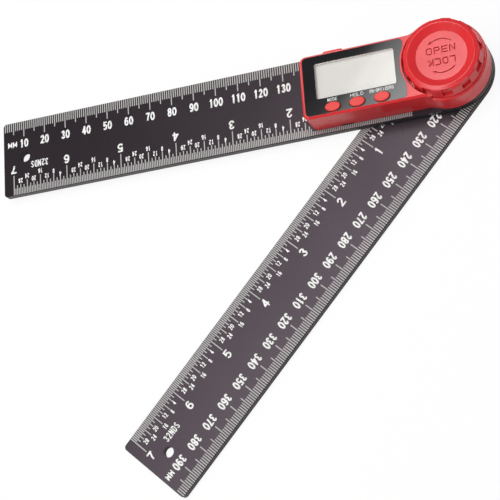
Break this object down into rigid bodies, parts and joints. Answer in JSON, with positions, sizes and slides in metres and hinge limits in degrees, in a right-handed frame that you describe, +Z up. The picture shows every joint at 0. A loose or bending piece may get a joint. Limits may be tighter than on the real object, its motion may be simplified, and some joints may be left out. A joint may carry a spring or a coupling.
{
  "type": "angle finder with arms",
  "caption": "Digital angle finder: two flat graduated arms on one pivot, with a display housing, push buttons, a battery tray and a round lock knob.",
  "frame": {"origin": "on the pivot axis, at the flat underside of the base arm", "axes": "+X from the pivot to the free end of the base arm, +Z up through the lock knob, +Y to the left of the base arm; the display arm is opened 46.5 degrees from +X towards -Y"},
  "size_m": [0.2171, 0.1733, 0.022],
  "materials": {
    "blade_black": "satin, faintly speckled, white print",
    "housing_red": "fine satin moulding",
    "knob_red": "fine satin moulding",
    "button_red": "soft satin",
    "front_black": "gloss",
    "inner_black": "matte",
    "clear_pane": "clear, polished",
    "lcd_grey": "reflective grey display",
    "white_plastic": "matte",
    "rubber_grey": "matte",
    "board_green": "solder mask",
    "flex_amber": "film",
    "steel": "plain",
    "brass": "turned"
  },
  "bodies": {
    "base_arm": {"base_blade": "blade_black", "pivot_stud": "steel", "friction_washer": "white_plastic", "rotor_hub": "white_plastic", "rotor_disc": "board_green", "rotor_clip": "steel"},
    "display_arm": {"display_blade": "blade_black", "pivot_bush": "brass", "stator_board": "board_green", "housing_shell": "housing_red", "housing_back": "inner_black", "bezel_plate": "front_black", "display_window": "clear_pane", "lcd_panel": "lcd_grey", "lcd_frame": "white_plastic", "zebra_strips": "rubber_grey", "main_board": "board_green", "chip_cap": "inner_black", "board_flex": "flex_amber", "switch_domes": "steel", "battery_contact_top": "steel", "battery_contact_bottom": "steel", "blade_screws": "steel", "board_screws": "steel", "thrust_washer": "brass", "wave_washer": "steel"},
    "knob": {"lock_knob": "knob_red", "knob_nut": "brass", "knob_cap": "knob_red"},
    "tray": {"battery_tray": "housing_red", "coin_cell": "steel"},
    "button_mode": {"button_mode": "button_red"},
    "button_hold": {"button_hold": "button_red"},
    "button_power": {"button_power": "button_red"}
  },
  "joints": [
    {"name": "blade_pivot", "type": "hinge", "parent": "base_arm", "child": "display_arm", "pos_m": [0, 0, 0.0031], "axis": [0, 0, 1], "continuous": true},
    {"name": "knob_turn", "type": "hinge", "parent": "base_arm", "child": "knob", "pos_m": [0, 0, 0.0165], "axis": [0, 0, 1], "range_deg": [0, 90]},
    {"name": "tray_slide", "type": "slide", "parent": "display_arm", "child": "tray", "axis": [-0.7254, -0.6884, 0], "range_m": [0, 0.02]},
    {"name": "button_mode_press", "type": "slide", "parent": "display_arm", "child": "button_mode", "axis": [0, 0, -1], "range_m": [0, 0.0006], "stiffness_N_per_m": 400, "springref_m": -0.001},
    {"name": "button_hold_press", "type": "slide", "parent": "display_arm", "child": "button_hold", "axis": [0, 0, -1], "range_m": [0, 0.0006], "stiffness_N_per_m": 400, "springref_m": -0.001},
    {"name": "button_power_press", "type": "slide", "parent": "display_arm", "child": "button_power", "axis": [0, 0, -1], "range_m": [0, 0.0006], "stiffness_N_per_m": 400, "springref_m": -0.001}
  ]
}
